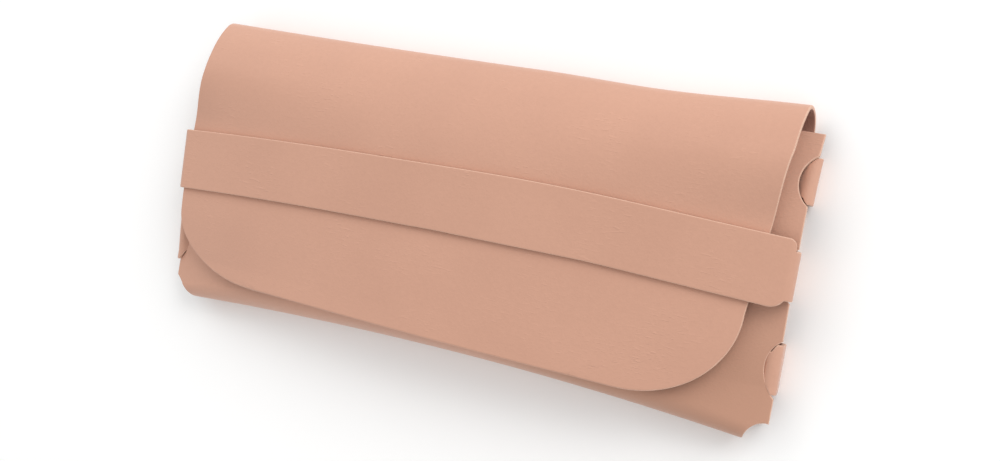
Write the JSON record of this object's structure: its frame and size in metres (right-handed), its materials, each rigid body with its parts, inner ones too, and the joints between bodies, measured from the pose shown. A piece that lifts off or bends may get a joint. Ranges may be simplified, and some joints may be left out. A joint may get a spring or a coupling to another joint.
{
  "type": "folding leather instrument case",
  "caption": "Flat folded-leather case for slim instruments: a pocket with a rolled top, a long flap tucked under a cross strap, and tongues that lock the ends.",
  "frame": {"origin": "middle of the case's footprint, on the surface that it lies on", "axes": "+X along the case, +Y from the bottom fold to the rolled top, +Z out of the front, through the flap"},
  "size_m": [0.1824, 0.0806, 0.02],
  "materials": {
    "case_leather": "matte",
    "strap_leather": "matte"
  },
  "bodies": {
    "pocket": {"back_panel": "case_leather", "bottom_fold": "case_leather", "front_panel": "case_leather", "tongue_lower_left": "case_leather", "tongue_lower_right": "case_leather", "tongue_upper_left": "case_leather", "tongue_upper_right": "case_leather", "strap": "strap_leather"},
    "roll_back": {"roll_back": "case_leather"},
    "roll_top": {"roll_top": "case_leather"},
    "roll_front": {"roll_front": "case_leather"},
    "flap": {"flap": "case_leather"}
  },
  "joints": [
    {"name": "flap_open", "type": "hinge", "parent": "pocket", "child": "roll_back", "pos_m": [0, 0.03607, 0.00052], "axis": [-1, 0, 0], "range_deg": [0, 44], "deforming": ["strap"]},
    {"name": "roll_top_unroll", "type": "hinge", "parent": "roll_back", "child": "roll_top", "pos_m": [0, 0.03978, 0.00423], "axis": [-1, 0, 0], "range_deg": [0, 44]},
    {"name": "roll_front_unroll", "type": "hinge", "parent": "roll_top", "child": "roll_front", "pos_m": [0, 0.03996, 0.00858], "axis": [-1, 0, 0], "range_deg": [0, 44]},
    {"name": "flap_unroll", "type": "hinge", "parent": "roll_front", "child": "flap", "pos_m": [0, 0.02966, 0.01621], "axis": [-1, 0, 0], "range_deg": [0, 44]}
  ],
  "couplings": [
    {"joint": "roll_top_unroll", "follows": "flap_open", "ratio": 1},
    {"joint": "roll_front_unroll", "follows": "flap_open", "ratio": 1},
    {"joint": "flap_unroll", "follows": "flap_open", "ratio": 1}
  ]
}
